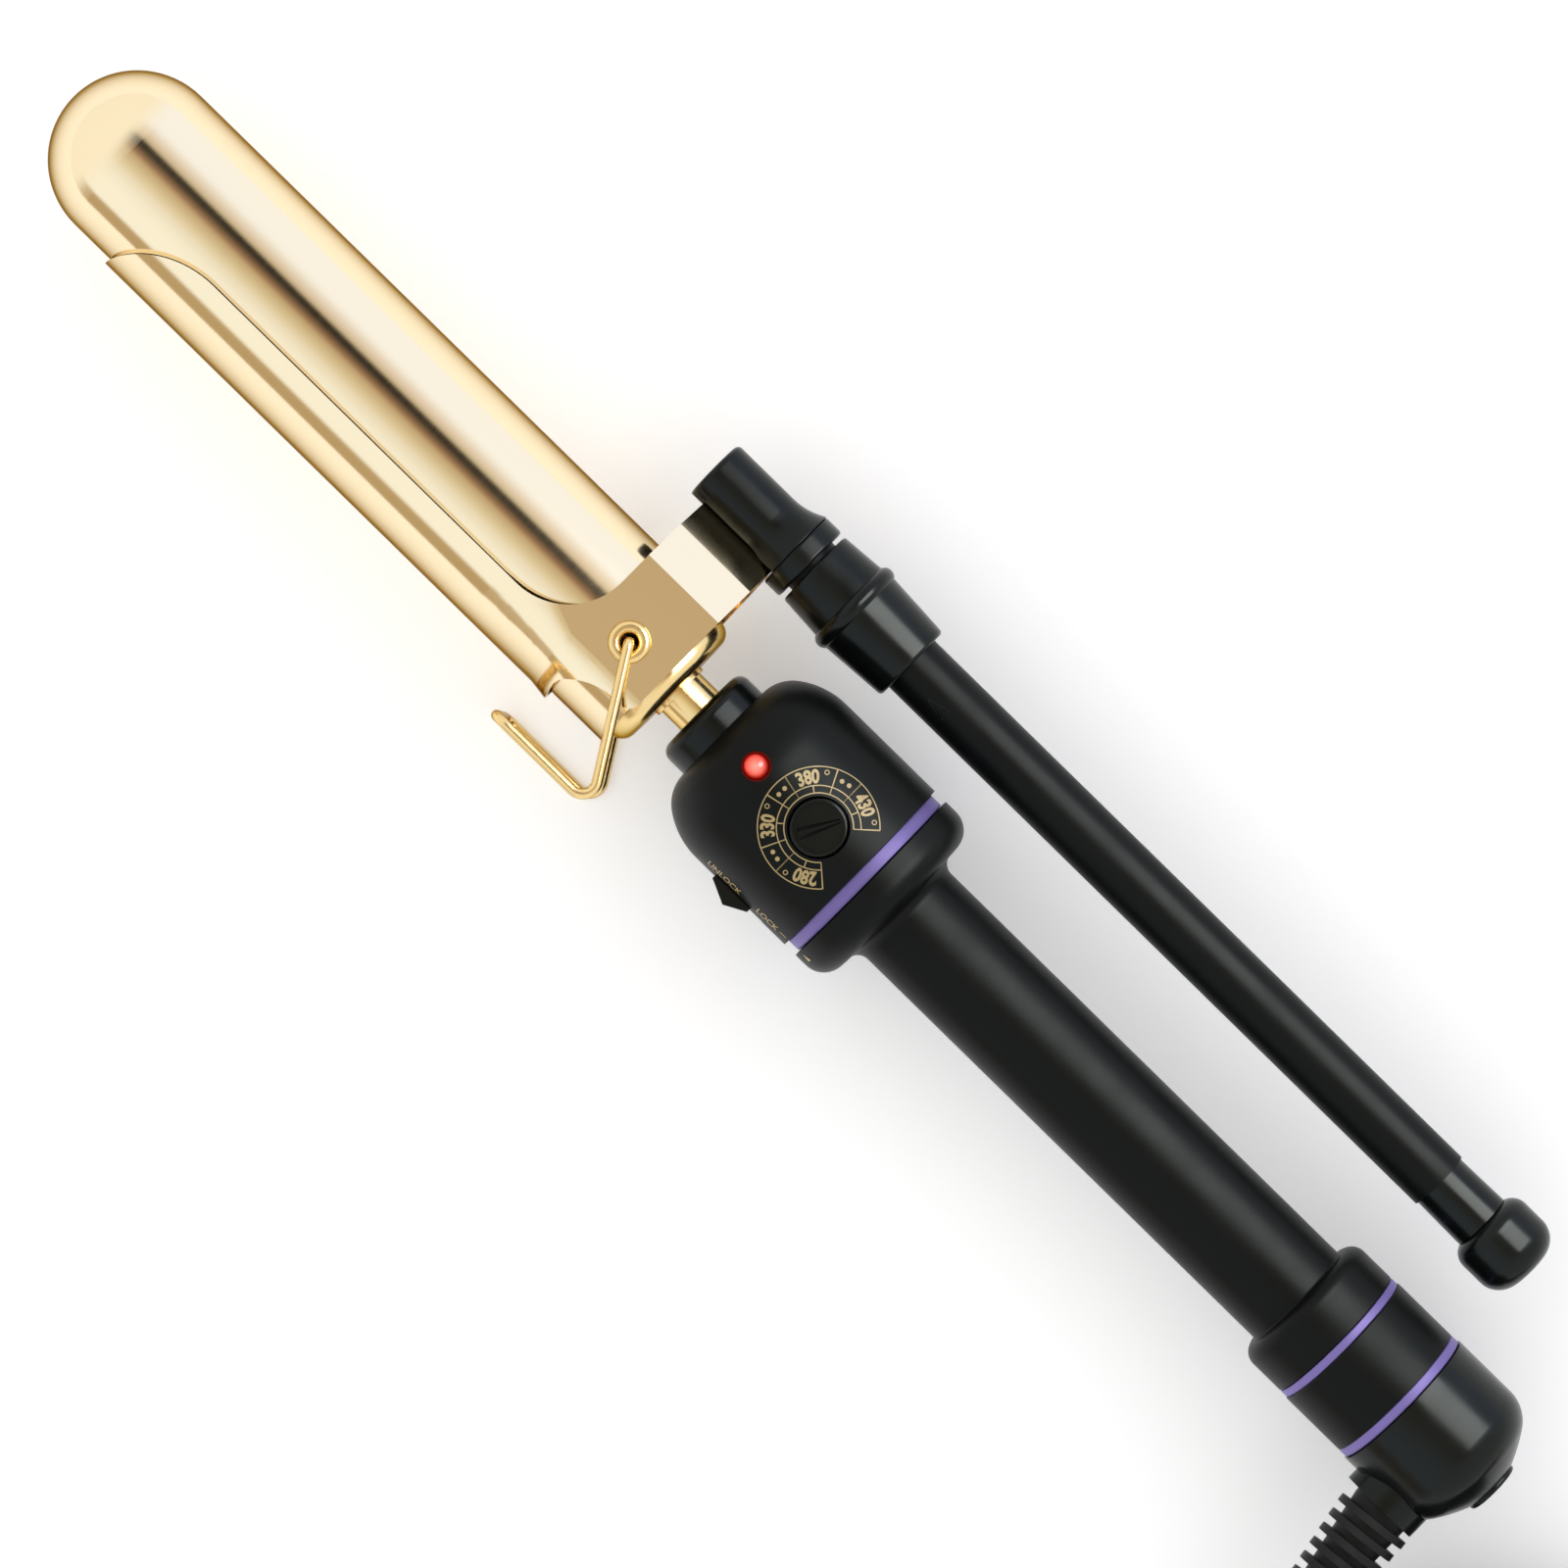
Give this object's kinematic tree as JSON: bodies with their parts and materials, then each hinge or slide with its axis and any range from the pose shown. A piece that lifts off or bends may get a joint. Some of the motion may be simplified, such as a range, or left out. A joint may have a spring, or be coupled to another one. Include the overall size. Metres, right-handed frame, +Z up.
{
  "type": "curling iron",
  "caption": "Curling iron with a gold barrel, a lever-operated clamp, two spinning grips, a temperature dial, a wire stand and a swivel cord.",
  "frame": {"origin": "bottom centre of the iron without its cord: the floor point under the middle of its length and width", "axes": "+X along the barrel towards its tip, +Y from the lever side to the clamp side, +Z up along the clamp's pivot axis, on the side with the dial"},
  "size_m": [0.4422, 0.1305, 0.0404],
  "materials": {
    "polished_gold": "polished",
    "satin_gold": "satin",
    "print_gold": "printed ink",
    "matte_black": "soft-touch matte",
    "gloss_black": "gloss",
    "purple": "satin gloss",
    "red_lens": "translucent gloss",
    "black_rubber": "matte",
    "tie_black": "matte",
    "steel": "machined",
    "plain_brass": "machined",
    "copper": "drawn",
    "ceramic": "unglazed",
    "mica": "layered",
    "circuit_board": "satin",
    "white_nylon": "moulded",
    "wire_insulation": "matte"
  },
  "bodies": {
    "cord_end": {"rear_cap": "gloss_black", "end_plug": "gloss_black", "swivel_post": "white_nylon", "slip_rings": "plain_brass", "cord_strain_relief": "black_rubber", "cord": "black_rubber", "cord_coil": "black_rubber", "cord_tie": "tie_black", "plug_body": "black_rubber", "plug_blades": "plain_brass"},
    "handle": {"barrel": "polished_gold", "barrel_base_cap": "satin_gold", "stem": "satin_gold", "nose_collar": "gloss_black", "housing": "matte_black", "indicator_light": "red_lens", "indicator_legs": "steel", "potentiometer": "matte_black", "control_board": "circuit_board", "front_ring": "purple", "core_tube": "matte_black", "grip_end_ring": "purple", "rear_collar": "matte_black", "swivel_ring": "purple", "contact_springs": "copper", "heater_core": "ceramic", "heater_sleeve": "mica", "heater_spacers": "ceramic", "temperature_sensor": "ceramic", "heater_leads": "wire_insulation", "power_wires": "wire_insulation", "pivot_rivets": "satin_gold"},
    "grip": {"grip_sleeve": "matte_black", "grip_bushes": "white_nylon"},
    "dial": {"dial_knob": "gloss_black", "potentiometer_shaft": "white_nylon"},
    "lock": {"lock_slider": "gloss_black", "lock_bar": "steel"},
    "clamp": {"clamp_shell": "polished_gold", "lever_ferrule": "gloss_black", "yoke_screw": "steel", "lever_ring": "gloss_black", "lever_front_bush": "matte_black", "lever_rod": "steel", "lever_nut": "steel"},
    "lever_grip": {"lever_collar": "gloss_black", "lever_tube": "matte_black", "lever_neck": "gloss_black", "lever_knob": "gloss_black", "lever_rear_bush": "white_nylon"},
    "stand": {"stand_wire": "satin_gold"}
  },
  "joints": [
    {"name": "cord_swivel", "type": "hinge", "parent": "cord_end", "child": "handle", "pos_m": [-0.1515, 0.00758, 0.0202], "axis": [-1, 0, 0], "continuous": true},
    {"name": "grip_spin", "type": "hinge", "parent": "handle", "child": "grip", "pos_m": [-0.08, 0.00758, 0.0202], "axis": [1, 0, 0], "continuous": true},
    {"name": "dial_turn", "type": "hinge", "parent": "handle", "child": "dial", "pos_m": [-0.0083, 0.00758, 0.0386], "axis": [0, 0, 1], "range_deg": [0, 236]},
    {"name": "lock_slide", "type": "slide", "parent": "handle", "child": "lock", "axis": [-1, 0, 0], "range_m": [0, 0.005]},
    {"name": "clamp_pivot", "type": "hinge", "parent": "handle", "child": "clamp", "pos_m": [0.0377, 0.00758, 0.0202], "axis": [0, 0, 1], "range_deg": [0, 25]},
    {"name": "lever_grip_spin", "type": "hinge", "parent": "clamp", "child": "lever_grip", "pos_m": [-0.06, -0.02447, 0.0202], "axis": [1, 0, 0], "continuous": true},
    {"name": "stand_pivot", "type": "hinge", "parent": "handle", "child": "stand", "pos_m": [0.0377, 0.00758, 0.0202], "axis": [0, 0, 1], "range_deg": [-27, 35]}
  ]
}
